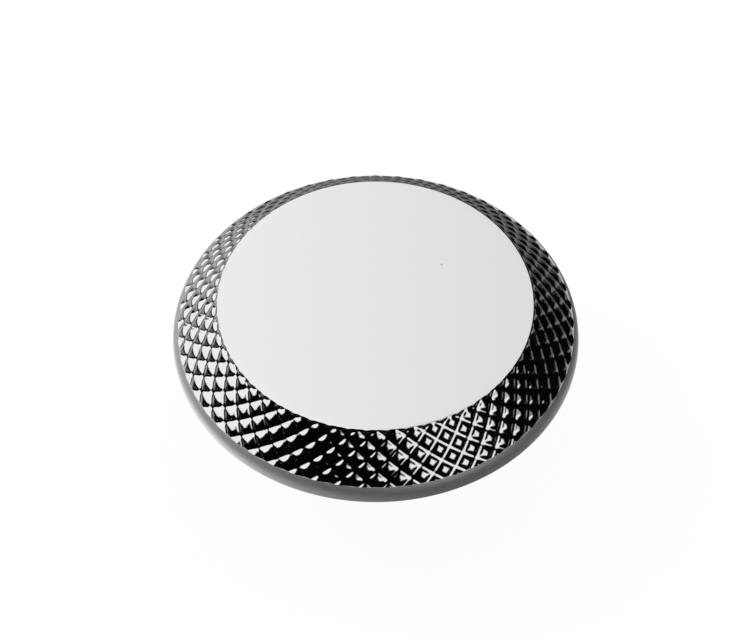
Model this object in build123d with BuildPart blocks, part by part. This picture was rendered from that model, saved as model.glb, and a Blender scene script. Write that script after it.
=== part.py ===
from build123d import *
import math
import os

# Disc knob for a cabinet door or drawer, turned from one piece of metal and plated.
# The base of the foot stands on z = 0, the axis is +Z and the polished face looks up.

# Head, in millimetres
height = 22.0  # base of the foot to the polished face
faceRadius = 15.85  # polished flat face
faceEdge = 0.1  # height of the plain edge round the face
bevelWidth = 4.15  # the knurled bevel, measured across
bevelDrop = 3.95  # its height: the bevel stands at nearly 45 degrees
ledgeWidth = 0.08  # level step where the knurling ends
rimOverhang = 0.5  # the plain rim stands proud of the knurling
rimHeight = 2.1
rimShoulder = 0.6  # height over which the rim's upper edge falls away
rimCrown = 1.9  # radius that rounds the shoulder into the upright band
rimChamfer = 0.35  # under the rim

# Diamond knurling on the bevel
studCount = 53  # studs in one ring
wholeRings = 5  # rings of whole studs, with a cut ring beyond each end
ringStep = 0.185  # from one ring to the next, as a share of the slope
firstRing = 0.1345  # the highest whole ring, as a share of the slope
grooveDepth = 0.15
grooveFloor = 0.26  # flat floor of each groove
studFlank = 0.32  # slope of a stud's side, measured along the bevel
studRoot = 0.05  # how far a stud is let into the groove floor

# Neck and foot
undersideRound = 4.0  # sweep from the underside of the head into the neck
neckRadius = 5.2
footSweep = 5.0  # sweep from the neck out to the foot
footRadius = 6.8
footBand = 1.6  # straight edge of the foot
footFlare = 2.4  # height over which the neck opens out to the foot
footChamfer = 0.4

# Blind M4 hole for the screw that comes through the door
screwCoreRadius = 1.65
screwDepth = 12.0
screwTip = 1.0  # cone left by the drill
leadIn = 0.6  # chamfer at the mouth

os.makedirs("parts", exist_ok=True)

bevelRadius = faceRadius + bevelWidth
rimRadius = bevelRadius + rimOverhang
ledgeZ = height - bevelDrop
undersideZ = ledgeZ - rimHeight
slope = math.hypot(bevelWidth, bevelDrop)
flankTaper = math.degrees(math.atan2(studFlank, grooveDepth))  # lean of a stud's sides
bevelLean = math.degrees(math.atan2(bevelWidth, bevelDrop))
floorInset = grooveDepth * slope / bevelDrop  # the groove floors' cone, moved in level


def bevelPoint(share, depth):
    """Radius and height on the bevel, a share of the way down it and a depth below."""
    radius = faceRadius + bevelWidth * share - depth * bevelDrop / slope
    return radius, height - bevelDrop * share - depth * bevelWidth / slope


def bevelPlane(share, depth):
    """Plane on the bevel, over the X axis: its x runs round the knob, its y up the slope."""
    radius, z = bevelPoint(share, depth)
    return Plane(origin=(radius, 0, z), x_dir=(0, 1, 0), z_dir=(bevelDrop, 0, bevelWidth))


def diamond(share, inset):
    """Corners of a stud's diamond, with its sides moved in from the groove centres."""
    across = math.pi * bevelPoint(share, 0)[0] / studCount
    along = ringStep * slope
    pitch = across * along / math.hypot(across, along)
    across, along = across * (1 - inset / pitch), along * (1 - inset / pitch)
    return (across, 0), (0, along), (-across, 0), (0, -along)


# The layer between the ledge and the polished face, which the end rings are cut to
with BuildPart() as layer:
    with BuildSketch(Plane.XY.offset(ledgeZ)):
        Circle(bevelRadius + bevelWidth)
    extrude(amount=bevelDrop)

# One stud for each ring, standing over the X axis
studs = []
for ring in range(-1, wholeRings + 1):
    share = firstRing + ring * ringStep
    with BuildPart() as stud:
        with BuildSketch(bevelPlane(share, grooveDepth + studRoot)):
            Polygon(*diamond(share, grooveFloor / 2 - studRoot / grooveDepth * studFlank), align=None)
        extrude(amount=grooveDepth + studRoot, taper=flankTaper)
        if not 0 <= share - ringStep < share + ringStep <= 1:
            add(layer.part, mode=Mode.INTERSECT)
    studs.append(stud.part)

# The turned body up to the ledge of the rim
with BuildPart() as knob:
    with BuildSketch(Plane.YZ):
        with BuildLine():
            FilletPolyline(
                (0, ledgeZ),
                (bevelRadius + ledgeWidth, ledgeZ),
                (rimRadius, ledgeZ - rimShoulder),
                (rimRadius, undersideZ + rimChamfer),
                (rimRadius - rimChamfer, undersideZ),
                (neckRadius, undersideZ),
                (neckRadius, footBand + footFlare),
                (footRadius, footBand),
                (footRadius, footChamfer),
                (footRadius - footChamfer, 0),
                (0, 0),
                radius=(0, rimCrown, 0, 0, undersideRound, footSweep, 0, 0, 0),
            )
            Line((0, 0), (0, ledgeZ))
        make_face()
    revolve(axis=Axis.Z)

    # The bevel at the depth of the groove floors, with two flats to a stud
    with BuildSketch(Plane.XY.offset(ledgeZ)):
        RegularPolygon(bevelRadius - floorInset, 2 * studCount, major_radius=False)
    extrude(amount=bevelDrop, taper=bevelLean)

    # The plain edge round the face, as proud as the studs and in line with their flats
    with BuildSketch(Plane.XY.offset(height - faceEdge)):
        RegularPolygon(
            faceRadius + faceEdge * bevelWidth / bevelDrop,
            2 * studCount,
            major_radius=False,
            rotation=90 / studCount,
        )
    extrude(amount=faceEdge, taper=bevelLean)

    # Rings of studs, each ring turned half a stud from the one above it
    for ring, stud in enumerate(studs):
        with PolarLocations(0, studCount, start_angle=180 / studCount * (ring % 2)):
            add(stud, clean=False)

    # Blind hole up the middle of the foot
    with BuildSketch(Plane.YZ):
        with BuildLine():
            Polyline(
                (0, 0),
                (screwCoreRadius + leadIn, 0),
                (screwCoreRadius, leadIn),
                (screwCoreRadius, screwDepth),
                (0, screwDepth + screwTip),
                close=True,
            )
        make_face()
    revolve(axis=Axis.Z, mode=Mode.SUBTRACT)

knob.part.label = "knob_body"
export_step(knob.part, "parts/knob_body.step")
print("volume", round(knob.part.volume / 1000, 2), "cm3, solids", len(knob.part.solids()))
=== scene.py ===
import math

import bpy
from mathutils import Matrix, Vector


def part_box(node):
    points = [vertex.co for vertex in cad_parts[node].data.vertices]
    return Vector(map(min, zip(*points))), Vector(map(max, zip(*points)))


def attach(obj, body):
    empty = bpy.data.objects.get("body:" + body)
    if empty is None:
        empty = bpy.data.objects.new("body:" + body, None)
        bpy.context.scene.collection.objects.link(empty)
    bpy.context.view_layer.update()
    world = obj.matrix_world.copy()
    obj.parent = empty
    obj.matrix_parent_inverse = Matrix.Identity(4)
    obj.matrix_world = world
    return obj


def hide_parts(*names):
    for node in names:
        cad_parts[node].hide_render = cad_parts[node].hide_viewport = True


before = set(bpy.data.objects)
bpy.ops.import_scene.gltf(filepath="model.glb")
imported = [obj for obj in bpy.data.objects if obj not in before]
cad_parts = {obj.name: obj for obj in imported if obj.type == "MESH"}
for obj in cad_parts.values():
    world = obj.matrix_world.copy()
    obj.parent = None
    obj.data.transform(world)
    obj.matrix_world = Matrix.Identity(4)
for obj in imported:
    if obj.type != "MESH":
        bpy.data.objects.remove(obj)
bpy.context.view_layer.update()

mm = 0.001
near = 0.01 * mm  # how far a vertex may lie from the place where it is looked for
low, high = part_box("knob_body")
scene = bpy.context.scene
scene.view_settings.view_transform = "Standard"


# Small helpers around the operators

def clearSelection():
    if bpy.context.mode != "OBJECT":
        bpy.ops.object.mode_set(mode="OBJECT")
    bpy.ops.object.select_all(action="DESELECT")


def finishAs(name):
    piece = bpy.context.object
    piece.name = name
    piece.data.name = name
    bpy.ops.object.transform_apply(location=True, rotation=True, scale=True)
    return piece


def pick(piece, test):
    # Selects the vertices that pass the test, and goes into edit mode
    if bpy.context.mode != "OBJECT":
        bpy.ops.object.mode_set(mode="OBJECT")
    mesh = piece.data
    for part in (mesh.vertices, mesh.edges, mesh.polygons):
        part.foreach_set("select", [False] * len(part))
    for vertex in mesh.vertices:
        vertex.select = test(vertex.co)
    bpy.ops.object.mode_set(mode="EDIT")
    bpy.ops.mesh.select_mode(type="VERT")


def startOutline(x, z):
    # One loose vertex in edit mode, to be extruded into an outline. The pen is its place.
    clearSelection()
    bpy.ops.mesh.primitive_plane_add(size=mm, location=(0, 0, 0))
    bpy.ops.object.mode_set(mode="EDIT")
    bpy.ops.mesh.select_all(action="SELECT")
    bpy.ops.mesh.merge(type="CENTER")
    bpy.ops.transform.translate(value=(x, 0, z))
    return [x, z]


def lineTo(pen, x, z, cuts=1):
    # A straight edge to a radius and a height, in equal parts
    for step in range(cuts):
        move = ((x - pen[0]) / cuts, 0, (z - pen[1]) / cuts)
        bpy.ops.mesh.extrude_region_move(TRANSFORM_OT_translate={"value": move})
    pen[:] = [x, z]


def arcTo(pen, centre, degrees, steps):
    # Positive degrees turn clockwise as seen from the front
    bpy.ops.mesh.spin(
        steps=steps, angle=-math.radians(degrees), center=(centre[0], 0, centre[1]), axis=(0, 1, 0)
    )
    turn = Matrix.Rotation(math.radians(degrees), 3, "Y")
    arm = turn @ Vector((pen[0] - centre[0], 0, pen[1] - centre[1]))
    pen[:] = [centre[0] + arm.x, centre[1] + arm.z]


def roundCorner(pen, corner, after, radius, steps):
    # Runs from the pen towards a corner, and round it towards the next point
    inward = (Vector(corner) - Vector(pen)).normalized()
    outward = (Vector(after) - Vector(corner)).normalized()
    turn = math.degrees(inward.angle_signed(outward))
    cut = radius * math.tan(math.radians(abs(turn)) / 2)
    start = Vector(corner) - inward * cut
    side = Vector((inward.y, -inward.x)) * (1 if turn > 0 else -1)
    lineTo(pen, start.x, start.y)
    centre = start + side * radius
    arcTo(pen, centre, turn, steps)


def spinAll(steps, angle, dupli=False):
    # Turns the whole mesh round the knob's axis
    bpy.ops.mesh.select_all(action="SELECT")
    bpy.ops.mesh.spin(
        steps=steps, dupli=dupli, angle=angle, center=(0, 0, 0), axis=(0, 0, 1)
    )


def closeUp():
    bpy.ops.mesh.select_all(action="SELECT")
    bpy.ops.mesh.remove_doubles(threshold=0.0005 * mm)
    bpy.ops.mesh.select_all(action="SELECT")
    bpy.ops.mesh.normals_make_consistent(inside=False)


# The head: polished face, knurled bevel and plain rim

head = {
    "faceRadius": 15.95 * mm,  # where the face and the bevel would meet in a corner
    "faceInset": 0.8 * mm,  # from there to the ring inside which the face is one polygon
    "bevelWidth": 4.08 * mm,
    "bevelDrop": 4.0 * mm,
    "edgeRound": 0.7 * mm,  # the buffed edge that takes that corner's place
    "edgeSteps": 9,
    "step": 0.06 * mm,  # from the studs down to the rim
    "shoulder": 0.6 * mm,  # height over which the rim's upper edge falls away
    "crown": 1.9 * mm,  # radius that rounds the shoulder into the upright band
    "crownSteps": 6,
    "rimHeight": 2.05 * mm,
    "lowerRound": 0.45 * mm,
    "lowerSteps": 5,
    "backRadius": 18.6 * mm,  # where the finely divided rim gives way to the turned back
}
knurl = {
    "studs": 53,
    "ringStep": 0.185,  # ring to ring, as a share of the slope
    "ring": 0.3145,  # a ring with a stud over the X axis
    "columns": 20,  # steps across one stud
    "rows": 50,  # steps down the bevel
    "runIn": (-0.04, 0.06),  # shares of the slope between which the grooves reach their depth
    "depth": 0.1006,  # the next values are shares of the spacing of the grooves
    "grooveWidth": 0.308,
    "hollow": 0.44,  # how fast the floor of a groove curves up
    "wall": math.tan(math.radians(26)),
    "blend": 0.0835,  # how softly one surface runs into the next
    "end": 1.0001,  # share of the slope where the knurling stops, with a little to spare
    "sink": 0.2 * mm,  # the floors of the grooves lie less than this below the ledge
    "skin": 0.002 * mm,  # how near a point is that counts as on the knurling
}
faceZ = high.z
rimRadius = high.x
faceEnd = head["faceRadius"] - head["faceInset"]
bevelRadius = head["faceRadius"] + head["bevelWidth"]
ledgeZ = faceZ - head["bevelDrop"]
undersideZ = ledgeZ - head["rimHeight"]
slope = math.hypot(head["bevelWidth"], head["bevelDrop"])
studAngle = 2 * math.pi / knurl["studs"]


def softMin(a, b, width):
    # The smaller of two heights, with the corner between them rounded
    share = min(max(0.5 + 0.5 * (b - a) / width, 0), 1)
    return b * (1 - share) + a * share - width * share * (1 - share)


def grooveWall(distance):
    # Height of a groove's floor or wall, at a distance from its middle
    half = knurl["grooveWidth"] / 2
    floor = knurl["hollow"] * min(distance, half) ** 2 / knurl["grooveWidth"]
    return floor + knurl["wall"] * max(distance - half, 0) - knurl["depth"]


def knurlDepth(turn, share):
    # Depth below the plain bevel at an angle round the knob and a share of the slope
    climb = (share - knurl["ring"]) / (2 * knurl["ringStep"])
    distances = [abs((turn / studAngle + sign * climb) % 1 - 0.5) for sign in (1, -1)]
    rise = softMin(0, grooveWall(distances[0]), knurl["blend"])
    rise = softMin(rise, grooveWall(distances[1]), knurl["blend"])
    across = (head["faceRadius"] + head["bevelWidth"] * share) * studAngle / 2
    along = knurl["ringStep"] * slope
    start, full = knurl["runIn"]
    runIn = min(max((share - start) / (full - start), 0), 1)
    return -rise * runIn * 2 * across * along / math.hypot(across, along)


def bevelPlace(co):
    # Angle round the knob, share of the slope and height above the plain bevel
    out = math.hypot(co.x, co.y) - head["faceRadius"]
    up = co.z - faceZ
    share = (out * head["bevelWidth"] - up * head["bevelDrop"]) / slope ** 2
    rise = (out * head["bevelDrop"] + up * head["bevelWidth"]) / slope
    return math.atan2(co.y, co.x), share, rise


def bevelAxes(turn):
    # Ways round the knob, down the slope and out from the bevel
    ahead = Vector((math.cos(turn), math.sin(turn), 0))
    up = Vector((0, 0, 1))
    down = (ahead * head["bevelWidth"] - up * head["bevelDrop"]) / slope
    outward = (ahead * head["bevelDrop"] + up * head["bevelWidth"]) / slope
    return Vector((-math.sin(turn), math.cos(turn), 0)), down, outward


def cutGrooves(piece):
    # Lowers the plain bevel and its rounded edge to the grooves, where these lie deeper
    for vertex in piece.data.vertices:
        turn, share, rise = bevelPlace(vertex.co)
        if share < knurl["end"] and math.hypot(vertex.co.x, vertex.co.y) > faceEnd:
            drop = knurlDepth(turn, share) + rise
            vertex.co -= bevelAxes(turn)[2] * max(drop, 0)


def grooveNormal(co):
    # Slope of the knurling at a point that lies on it, and nothing at any other point
    turn, share, rise = bevelPlace(co)
    if share > knurl["end"] or abs(knurlDepth(turn, share) + rise) > knurl["skin"]:
        return None
    step = 0.0005
    across = (knurlDepth(turn + step, share) - knurlDepth(turn - step, share)) / (2 * step)
    along = (knurlDepth(turn, share + step) - knurlDepth(turn, share - step)) / (2 * step)
    around, down, outward = bevelAxes(turn)
    return (outward + around * across / math.hypot(co.x, co.y) + down * along / slope).normalized()


pen = startOutline(faceEnd, faceZ)
roundCorner(
    pen, (head["faceRadius"], faceZ), (bevelRadius, ledgeZ), head["edgeRound"], head["edgeSteps"]
)
lineTo(pen, bevelRadius, ledgeZ, cuts=knurl["rows"])
lineTo(pen, bevelRadius - head["step"] / 2, ledgeZ - head["step"])
shoulderFoot = (rimRadius, ledgeZ - head["shoulder"])
rimFoot = (rimRadius, undersideZ)
roundCorner(pen, shoulderFoot, rimFoot, head["crown"], head["crownSteps"])
roundCorner(pen, rimFoot, (0, undersideZ), head["lowerRound"], head["lowerSteps"])
lineTo(pen, head["backRadius"], undersideZ)

# One stud's share of the head is cut, and copied all the way round
spinAll(knurl["columns"], studAngle)
bpy.ops.object.mode_set(mode="OBJECT")
headPiece = bpy.context.object
cutGrooves(headPiece)
bpy.ops.object.mode_set(mode="EDIT")
spinAll(knurl["studs"] - 1, 2 * math.pi - studAngle, dupli=True)
closeUp()
pick(headPiece, lambda co: math.hypot(co.x, co.y) < faceEnd + near and co.z > ledgeZ)
bpy.ops.mesh.edge_face_add()
print("head", len(headPiece.data.vertices))

# The back of the head, the neck, the foot and the screw hole

stem = {
    "columns": 159,
    "seam": 0.6 * mm,  # width of the ring that joins the back to the finely divided rim
    "neckRadius": 5.2 * mm,
    "undersideRound": 4 * mm,
    "undersideSteps": 16,
    "footSweep": 5 * mm,
    "sweepSteps": 8,
    "footRadius": 6.8 * mm,
    "footBand": 1.6 * mm,
    "footFlare": 2.4 * mm,
    "bandSteps": 4,
    "footRound": 0.4 * mm,  # the band's upper and lower edge
    "footSteps": 5,
    "holeRadius": 2.0 * mm,  # across the roots of the thread
    "coreRadius": 1.65 * mm,
    "leadIn": 0.6 * mm,
    "holeDepth": 12 * mm,
    "drillTip": 1 * mm,
}
seamRadius = head["backRadius"] - stem["seam"]
threadDepth = stem["holeRadius"] - stem["coreRadius"]
pen = startOutline(seamRadius, undersideZ)
neckTop = (stem["neckRadius"], undersideZ)
neckFoot = (stem["neckRadius"], stem["footBand"] + stem["footFlare"])
bandTop = (stem["footRadius"], stem["footBand"])
bandFoot = (stem["footRadius"], 0)
roundCorner(pen, neckTop, neckFoot, stem["undersideRound"], stem["undersideSteps"])
roundCorner(pen, neckFoot, bandTop, stem["footSweep"], stem["sweepSteps"])
roundCorner(pen, bandTop, bandFoot, stem["footRound"], stem["bandSteps"])
roundCorner(pen, bandFoot, (0, 0), stem["footRound"], stem["footSteps"])
lineTo(pen, stem["coreRadius"] + stem["leadIn"], 0)
lineTo(pen, stem["holeRadius"], stem["leadIn"] - threadDepth)
lineTo(pen, stem["holeRadius"], stem["holeDepth"])
lineTo(pen, 0, stem["holeDepth"] + stem["drillTip"])
spinAll(stem["columns"], 2 * math.pi)
closeUp()
bpy.ops.object.mode_set(mode="OBJECT")
stemPiece = bpy.context.object
print("stem", len(stemPiece.data.vertices))

# The thread is one ridge wound up the wall of the hole

thread = {
    "pitch": 0.7 * mm,
    "root": 0.04 * mm,  # how far the ridge's foot is let into the wall
    "crest": (0.26 * mm, 0.34 * mm),  # the crest's two edges, above the ridge's start
    "width": 0.6 * mm,
    "steps": 32,
    "room": 0.4 * mm,  # kept free at the end of the hole
}
startOutline(stem["holeRadius"] + thread["root"], stem["leadIn"])
pen = [0, 0]
for height in thread["crest"]:
    lineTo(pen, -threadDepth, height)
lineTo(pen, thread["root"], thread["width"])
bpy.ops.mesh.select_all(action="SELECT")
bpy.ops.mesh.edge_face_add()
bpy.ops.mesh.delete(type="ONLY_FACE")
bpy.ops.object.mode_set(mode="OBJECT")
threadPiece = bpy.context.object
winding = threadPiece.modifiers.new("winding", "SCREW")
winding.axis = "Z"
winding.steps = thread["steps"]
winding.render_steps = thread["steps"]
threadLength = stem["holeDepth"] - stem["leadIn"] - thread["room"]
winding.iterations = int(threadLength / thread["pitch"])
winding.screw_offset = thread["pitch"]
bpy.ops.object.modifier_apply(modifier="winding")
bpy.ops.object.mode_set(mode="EDIT")
bpy.ops.mesh.select_all(action="SELECT")
bpy.ops.mesh.fill_holes(sides=4)
closeUp()
bpy.ops.object.mode_set(mode="OBJECT")
print("thread", len(threadPiece.data.vertices))

# Head, back and thread become one piece, with the ring between head and back filled in

clearSelection()
for part in (headPiece, stemPiece, threadPiece):
    part.select_set(True)
bpy.context.view_layer.objects.active = headPiece
bpy.ops.object.join()
knob = finishAs("knob")
inner, outer = seamRadius - near, head["backRadius"] + near
pick(knob, lambda co: inner < math.hypot(co.x, co.y) < outer and co.z < undersideZ + near)
bpy.ops.mesh.fill(use_beauty=True)
bpy.ops.mesh.select_all(action="SELECT")
bpy.ops.mesh.normals_make_consistent(inside=False)
bpy.ops.object.mode_set(mode="OBJECT")
bpy.ops.object.shade_smooth_by_angle(angle=math.radians(30))


def exactNormals(piece):
    # Shades the knurling by its own formula, and leaves every other face as it is
    mesh = piece.data
    known = {}
    normals = [(0, 0, 0)] * len(mesh.loops)
    for face in mesh.polygons:
        share = bevelPlace(face.center)[1]
        if share > 1 or face.center.z < ledgeZ - knurl["sink"] or len(face.vertices) > 4:
            continue
        for corner in face.loop_indices:
            index = mesh.loops[corner].vertex_index
            if index not in known:
                known[index] = grooveNormal(mesh.vertices[index].co)
            if known[index]:
                normals[corner] = known[index]
    mesh.normals_split_custom_set(normals)
    print("exact normals", len(known))


exactNormals(knob)
print("knob", len(knob.data.polygons), "faces")


# Materials

class Wire:
    # A value in a node tree, so that shader maths can be written as sums
    def __init__(self, tree, socket=None):
        self.tree = tree
        self.socket = socket

    def node(self, kind, settings=None, values=None, out=0):
        made = self.tree.nodes.new(kind)
        for name, value in (settings or {}).items():
            setattr(made, name, value)
        for name, value in (values or {}).items():
            if isinstance(value, Wire):
                self.tree.links.new(value.socket, made.inputs[name])
            else:
                made.inputs[name].default_value = value
        return Wire(self.tree, made.outputs[out])

    def maths(self, operation, *values):
        return self.node("ShaderNodeMath", {"operation": operation}, dict(enumerate(values)))

    def vector(self, operation, *values):
        # Gives a vector when it normalizes, and a number in all other cases
        out = 0 if operation == "NORMALIZE" else 1
        settings = {"operation": operation}
        return self.node("ShaderNodeVectorMath", settings, dict(enumerate(values)), out)

    def place(self):
        return self.node("ShaderNodeTexCoord", out="Object")

    def output(self, shader):
        made = self.tree.nodes.new("ShaderNodeOutputMaterial")
        self.tree.links.new(shader.socket, made.inputs["Surface"])

    def clamped(self):
        return self.node("ShaderNodeClamp", None, {0: self})

    def __add__(self, other):
        return self.maths("ADD", self, other)

    def __radd__(self, other):
        return self.maths("ADD", other, self)

    def __sub__(self, other):
        return self.maths("SUBTRACT", self, other)

    def __rsub__(self, other):
        return self.maths("SUBTRACT", other, self)

    def __mul__(self, other):
        return self.maths("MULTIPLY", self, other)

    def __rmul__(self, other):
        return self.maths("MULTIPLY", other, self)

    def __truediv__(self, other):
        return self.maths("DIVIDE", self, other)

    def __rtruediv__(self, other):
        return self.maths("DIVIDE", other, self)

    def __pow__(self, other):
        return self.maths("POWER", self, other)


def newMaterial(name):
    # An emptied material and the wire that its nodes are added with
    material = bpy.data.materials.new(name)
    material.use_nodes = True
    material.node_tree.nodes.clear()
    return material, Wire(material.node_tree)


def noise(tree, scale, detail):
    values = {"Vector": tree.place(), "Scale": scale, "Detail": detail}
    return tree.node("ShaderNodeTexNoise", None, values)


def metal(tree, colour, roughness):
    values = {"Base Color": colour, "Metallic": 1.0, "Roughness": roughness}
    tree.output(tree.node("ShaderNodeBsdfPrincipled", None, values))


polish = {
    "colour": (0.80, 0.80, 0.80, 1),
    "roughness": 0.03,
    "smears": 0.02,  # how much the gloss varies where it was wiped
    "smearScale": 90,
    "smearDetail": 3,
    "speckColour": (0.1, 0.1, 0.1, 1),
    "speckReach": 1.5,  # in radii, where a speck has faded out
    "specks": [  # x, y and radius of the specks in the plating, and how dark they are
        (6.81 * mm, 4.71 * mm, 0.11 * mm, 0.55),
        (-6.06 * mm, 9.36 * mm, 0.08 * mm, 0.15),
        (-7.09 * mm, 9.13 * mm, 0.08 * mm, 0.10),
    ],
}
satin = {
    "colour": (0.78, 0.78, 0.78, 1),
    "roughness": 0.55,
    "grain": 0.06,  # how much the roughness varies
    "grainScale": 2600,
    "grainDetail": 2,
    "startRadius": 19.1 * mm,  # on the underside the satin starts outside this
}


def polishedChrome():
    material, tree = newMaterial("polished chrome")
    smear = noise(tree, polish["smearScale"], polish["smearDetail"])
    speckled = 0.0
    for x, y, size, tone in polish["specks"]:
        away = tree.vector("DISTANCE", tree.place(), (x, y, faceZ))
        speckled = speckled + tone * (polish["speckReach"] - away / size).clamped()
    colour = tree.node(
        "ShaderNodeMix",
        {"data_type": "RGBA"},
        {0: speckled, 6: polish["colour"], 7: polish["speckColour"]},
        out=2,
    )
    metal(tree, colour, polish["roughness"] + polish["smears"] * smear)
    return material


def satinChrome():
    material, tree = newMaterial("satin chrome")
    grain = noise(tree, satin["grainScale"], satin["grainDetail"])
    metal(tree, satin["colour"], satin["roughness"] + satin["grain"] * grain)
    return material


knob.data.materials.clear()
knob.data.materials.append(polishedChrome())
knob.data.materials.append(satinChrome())
for face in knob.data.polygons:
    radius = math.hypot(face.center.x, face.center.y)
    onRim = radius > satin["startRadius"] and bevelPlace(face.center)[1] > 1
    face.material_index = 1 if onRim else 0
print("materials", [material.name for material in knob.data.materials])
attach(knob, "root")
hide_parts("knob_body")

# The studio: a white floor and surround, and a dark tent with two lit windows that only the
# metal sees

studio = {
    "turn": math.radians(-1.6821),
    "tentRadius": 0.5,
    "tentSegments": 96,
    "dark": 0.002,  # light of the dark parts
    "panelLight": 0.9,
    "leftLight": 0.14,  # added to the panel's light on its left
    "leftSharpness": 8,  # how suddenly that begins
    "panelEdges": [(-16.6, 16.0), (40.8, 64.0), (-133.2, 61.0), (-90, 30.4)],
    "panelSoftness": 0.09,
    "lamp": (139.2, 34.8),  # the round window, in front and to the right
    "lampSize": math.radians(19.5),
    "lampSoftness": 0.05,
    "lampLight": 0.97,
    "tableRadius": 0.48,
    "tableDrop": 0.1 * mm,
    "tableLight": [(-50, 0.36), (3, 0.10)],  # bearings in which the table is lit, and how much
    "tableSpread": 5.4,
    "patches": [  # patches of light on the table: middle, size and strength
        (88 * mm, 7 * mm, 50 * mm, 0.19),
        (-50 * mm, -35 * mm, 50 * mm, 0.36),
        (-29 * mm, -3 * mm, 17 * mm, 1.3),
        (27 * mm, 9 * mm, 14 * mm, 0.9),
        (0, 36 * mm, 22 * mm, 0.09),
    ],
    "patchFall": 4,
    # Distance from the middle and share of the light, where each shade starts and ends
    "nearShade": ((10 * mm, 0.3), (28 * mm, 1.0)),
    "farShade": ((60 * mm, 1.0), (200 * mm, 0.5)),
}


def bearing(azimuth, elevation):
    # Way out from the knob: degrees to the right of straight back, and degrees up
    flat = math.cos(math.radians(elevation))
    azimuth = math.radians(azimuth)
    return flat * math.sin(azimuth), flat * math.cos(azimuth), math.sin(math.radians(elevation))


def towards(tree, way, azimuth, elevation):
    # Cosine of the angle between a way out from the knob and a bearing
    return tree.vector("DOT_PRODUCT", way, bearing(azimuth, elevation))


def shade(tree, reach, start, end):
    values = {0: reach, 1: start[0], 2: end[0], 3: start[1], 4: end[1]}
    return tree.node("ShaderNodeMapRange", {"interpolation_type": "SMOOTHSTEP"}, values)


def glow(tree, strength):
    values = {"Color": (1, 1, 1, 1), "Strength": strength}
    return tree.node("ShaderNodeEmission", None, values)


def onlyInMetal(piece):
    piece.visible_camera = False
    piece.visible_diffuse = False
    piece.visible_transmission = False
    piece.visible_shadow = False


def tentLight():
    material, tree = newMaterial("tent")
    way = tree.vector("NORMALIZE", tree.place())
    across = tree.node("ShaderNodeSeparateXYZ", None, {0: way}, out="X")
    left = (0.5 - studio["leftSharpness"] * across).clamped()
    light = studio["panelLight"] + studio["leftLight"] * left
    for edge in studio["panelEdges"]:  # each edge is given by its plane's inward normal
        light = light * (towards(tree, way, *edge) / studio["panelSoftness"] + 0.5).clamped()
    past = towards(tree, way, *studio["lamp"]) - math.cos(studio["lampSize"])
    lamp = (past / studio["lampSoftness"] + 0.5).clamped()
    tree.output(glow(tree, light + studio["lampLight"] * lamp + studio["dark"]))
    return material


def tableLight():
    material, tree = newMaterial("table card")
    place = tree.place()
    way = tree.vector("NORMALIZE", place)
    light = studio["dark"]
    for azimuth, strength in studio["tableLight"]:
        lobe = towards(tree, way, azimuth, 0).clamped() ** studio["tableSpread"]
        light = light + strength * lobe
    for x, y, size, strength in studio["patches"]:
        away = tree.vector("DISTANCE", place, (x, y, 0))
        light = light + strength / (1 + (away / size) ** studio["patchFall"])
    reach = tree.vector("LENGTH", place)
    for start, end in (studio["nearShade"], studio["farShade"]):
        light = light * shade(tree, reach, start, end)
    tree.output(glow(tree, light))
    return material


clearSelection()
bpy.ops.mesh.primitive_uv_sphere_add(
    segments=studio["tentSegments"],
    ring_count=studio["tentSegments"] // 2,
    radius=studio["tentRadius"],
    location=(0, 0, faceZ),
)
tent = bpy.context.object
tent.name = "tent"
tent.rotation_euler.z = studio["turn"]
tent.data.materials.append(tentLight())
onlyInMetal(tent)

bpy.ops.mesh.primitive_circle_add(
    vertices=studio["tentSegments"],
    radius=studio["tableRadius"],
    fill_type="NGON",
    location=(0, 0, low.z - studio["tableDrop"]),
)
table = bpy.context.object
table.name = "table card"
table.rotation_euler.z = studio["turn"]
table.data.materials.append(tableLight())
onlyInMetal(table)

floorLook = {
    "colour": (0.9, 0.9, 0.9, 1),
    "shadow": 0.06,  # share of the floor's own shading
    "size": 6,
    "drop": 0.3 * mm,  # below the foot, and below the table card
}


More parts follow.
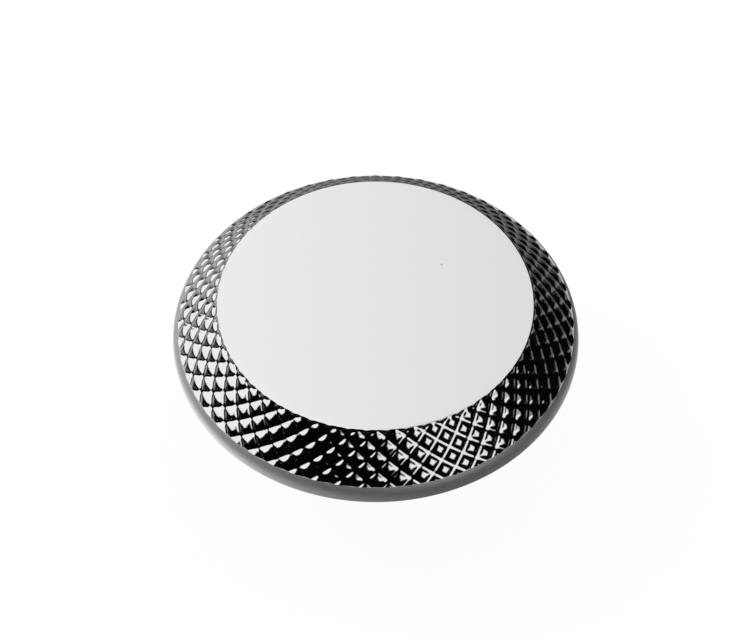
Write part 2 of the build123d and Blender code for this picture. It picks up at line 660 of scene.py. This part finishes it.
def floorMaterial():
    # White to the camera and in the metal, but for the share that takes the shadow
    material, tree = newMaterial("floor")
    camera, glossy, through = [
        tree.node("ShaderNodeLightPath", out=name)
        for name in ("Is Camera Ray", "Is Glossy Ray", "Is Transmission Ray")
    ]
    seen = (camera + glossy + through).clamped() * (1 - floorLook["shadow"])
    plain = tree.node("ShaderNodeBsdfDiffuse", None, {"Color": floorLook["colour"]})
    tree.output(tree.node("ShaderNodeMixShader", None, {0: seen, 1: plain, 2: glow(tree, 1.0)}))
    return material


bpy.ops.mesh.primitive_plane_add(
    size=floorLook["size"], location=(0, 0, low.z - floorLook["drop"])
)
floor = bpy.context.object
floor.name = "floor"
floor.data.materials.append(floorMaterial())

world = bpy.data.worlds.new("surround")
scene.world = world
world.use_nodes = True
background = world.node_tree.nodes["Background"]
background.inputs["Color"].default_value = (1, 1, 1, 1)
background.inputs["Strength"].default_value = 1.0

softLamp = {
    "place": (-0.35, 0.1, 0.45),
    "aim": (0, 0, 0.02),
    "size": 0.3,
    "energy": 1.0,
}
bpy.ops.object.light_add(type="AREA", radius=softLamp["size"], location=softLamp["place"])
lampObject = bpy.context.object
lampObject.name = "soft lamp"
lampObject.data.shape = "DISK"
lampObject.data.size = softLamp["size"]
lampObject.data.energy = softLamp["energy"]
lampObject.visible_glossy = False
fromAim = Vector(softLamp["place"]) - Vector(softLamp["aim"])
lampObject.rotation_euler = fromAim.to_track_quat("Z", "Y").to_euler()
print("studio", tent.name, table.name, floor.name, lampObject.name)

# The camera looks down on the face from in front

view = {
    "elevation": math.radians(51.8952),
    "roll": math.radians(-0.1860),
    "distance": 465.104 * mm,
    "lens": 222.670,
    "sensor": 36,
    "clipStart": 10 * mm,
    "aside": 0.0757 * mm,  # from the middle of the picture to the middle of the face
    "below": 1.8305 * mm,
}
aim = Matrix.Rotation(studio["turn"], 3, "Z")
aim = aim @ Matrix.Rotation(math.pi / 2 - view["elevation"], 3, "X")
aim = aim @ Matrix.Rotation(view["roll"], 3, "Z")
bpy.ops.object.camera_add()
camera = bpy.context.object
camera.data.lens = view["lens"]
camera.data.sensor_width = view["sensor"]
camera.data.clip_start = view["clipStart"]
offset = aim @ Vector((-view["aside"], -view["below"], view["distance"]))
camera.location = Vector((0, 0, faceZ)) + offset
camera.rotation_euler = aim.to_euler()
scene.camera = camera
print("camera", [round(value, 4) for value in camera.location])
